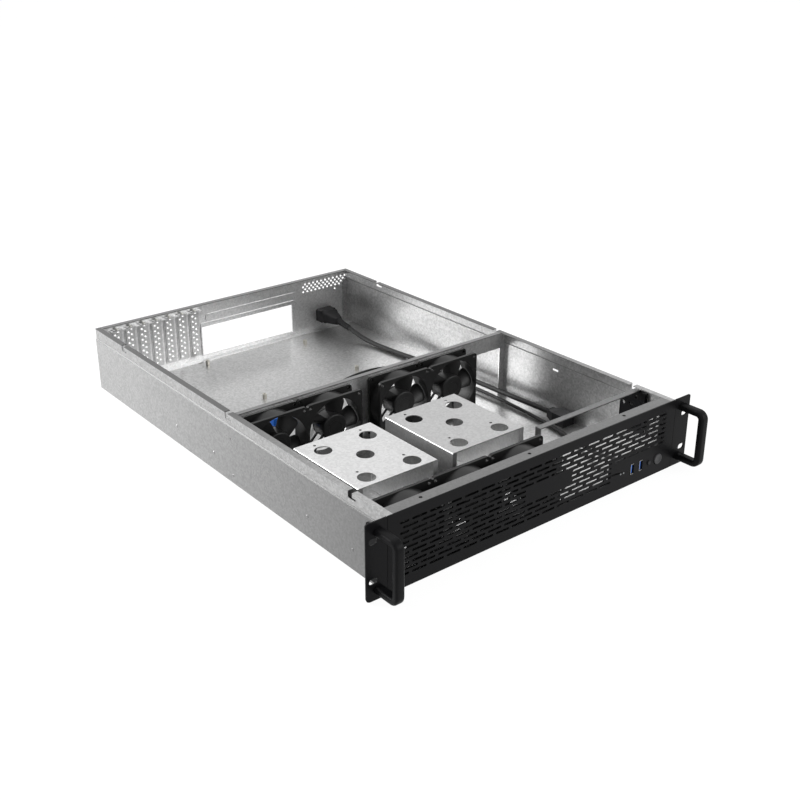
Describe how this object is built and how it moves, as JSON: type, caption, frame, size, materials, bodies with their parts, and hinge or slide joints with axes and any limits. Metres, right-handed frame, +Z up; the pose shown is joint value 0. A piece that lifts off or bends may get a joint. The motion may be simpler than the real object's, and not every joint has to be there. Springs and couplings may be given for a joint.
{
  "type": "empty rackmount server case",
  "caption": "Open rack case in galvanised sheet with a black slotted front, handles, fans and drive cages",
  "frame": {"origin": "on the underside, below the middle of the whole case with its ears, handles and inlet", "axes": "+Z up, +Y from the front panel to the rear wall, +X to the right seen from the front"},
  "size_m": [0.4826, 0.6884, 0.0881],
  "materials": {
    "galvanised_steel": "galvanised, semi-gloss",
    "black_paint": "powder coat, satin",
    "zinc_screws": "zinc plated",
    "black_screws": "black oxide",
    "fan_black": "matte",
    "rotor_black": "satin",
    "dark_plastic": "matte",
    "socket_metal": "nickel plated",
    "blue_plastic": "gloss",
    "clear_lens": "clear",
    "brass": "turned",
    "cord_black": "matte"
  },
  "bodies": {
    "case": {"chassis_tub": "galvanised_steel", "rear_panel": "galvanised_steel", "slot_cover_1": "galvanised_steel", "slot_cover_2": "galvanised_steel", "slot_cover_3": "galvanised_steel", "slot_cover_4": "galvanised_steel", "slot_cover_5": "galvanised_steel", "slot_cover_6": "galvanised_steel", "slot_cover_7": "galvanised_steel", "front_frame": "galvanised_steel", "fan_wall": "galvanised_steel", "drive_cage_left": "galvanised_steel", "drive_cage_right": "galvanised_steel", "psu_hold_down_bar": "galvanised_steel", "front_panel": "black_paint", "ear_left": "black_paint", "ear_right": "black_paint", "handle_left": "black_paint", "handle_right": "black_paint", "psu_bar_bracket": "black_paint", "slot_cover_screws": "zinc_screws", "cage_screws": "zinc_screws", "handle_screws": "zinc_screws", "inlet_screws": "zinc_screws", "side_rivets": "zinc_screws", "fan_screws": "black_screws", "mid_fan_frame_1": "fan_black", "mid_fan_frame_2": "fan_black", "mid_fan_frame_3": "fan_black", "mid_fan_frame_4": "fan_black", "front_fan_frame_1": "fan_black", "front_fan_frame_2": "fan_black", "front_fan_frame_3": "fan_black", "front_io_module": "dark_plastic", "power_inlet": "dark_plastic", "power_plug": "dark_plastic", "usb_shells": "socket_metal", "inlet_pins": "socket_metal", "usb_tongues": "blue_plastic", "signal_plug": "blue_plastic", "led_lenses": "clear_lens", "standoffs": "brass", "power_cord": "cord_black", "signal_cord": "cord_black"},
    "mid_fan_rotor_1_body": {"mid_fan_rotor_1": "rotor_black"},
    "mid_fan_rotor_2_body": {"mid_fan_rotor_2": "rotor_black"},
    "mid_fan_rotor_3_body": {"mid_fan_rotor_3": "rotor_black"},
    "mid_fan_rotor_4_body": {"mid_fan_rotor_4": "rotor_black"},
    "front_fan_rotor_1_body": {"front_fan_rotor_1": "rotor_black"},
    "front_fan_rotor_2_body": {"front_fan_rotor_2": "rotor_black"},
    "front_fan_rotor_3_body": {"front_fan_rotor_3": "rotor_black"},
    "power_button_body": {"power_button": "dark_plastic"},
    "reset_button_body": {"reset_button": "dark_plastic"}
  },
  "joints": [
    {"name": "mid_fan_spin_1", "type": "hinge", "parent": "case", "child": "mid_fan_rotor_1_body", "pos_m": [-0.1675, -0.0362, 0.0445], "axis": [0, 1, 0], "continuous": true},
    {"name": "mid_fan_spin_2", "type": "hinge", "parent": "case", "child": "mid_fan_rotor_2_body", "pos_m": [-0.0875, -0.0362, 0.0445], "axis": [0, 1, 0], "continuous": true},
    {"name": "mid_fan_spin_3", "type": "hinge", "parent": "case", "child": "mid_fan_rotor_3_body", "pos_m": [0.0198, -0.0362, 0.0445], "axis": [0, 1, 0], "continuous": true},
    {"name": "mid_fan_spin_4", "type": "hinge", "parent": "case", "child": "mid_fan_rotor_4_body", "pos_m": [0.0998, -0.0362, 0.0445], "axis": [0, 1, 0], "continuous": true},
    {"name": "front_fan_spin_1", "type": "hinge", "parent": "case", "child": "front_fan_rotor_1_body", "pos_m": [-0.167, -0.2814, 0.0445], "axis": [0, 1, 0], "continuous": true},
    {"name": "front_fan_spin_2", "type": "hinge", "parent": "case", "child": "front_fan_rotor_2_body", "pos_m": [-0.087, -0.2814, 0.0445], "axis": [0, 1, 0], "continuous": true},
    {"name": "front_fan_spin_3", "type": "hinge", "parent": "case", "child": "front_fan_rotor_3_body", "pos_m": [-0.007, -0.2814, 0.0445], "axis": [0, 1, 0], "continuous": true},
    {"name": "power_press", "type": "slide", "parent": "case", "child": "power_button_body", "axis": [0, 1, 0], "range_m": [0, 0.001], "stiffness_N_per_m": 400},
    {"name": "reset_press", "type": "slide", "parent": "case", "child": "reset_button_body", "axis": [0, 1, 0], "range_m": [0, 0.001], "stiffness_N_per_m": 400}
  ]
}
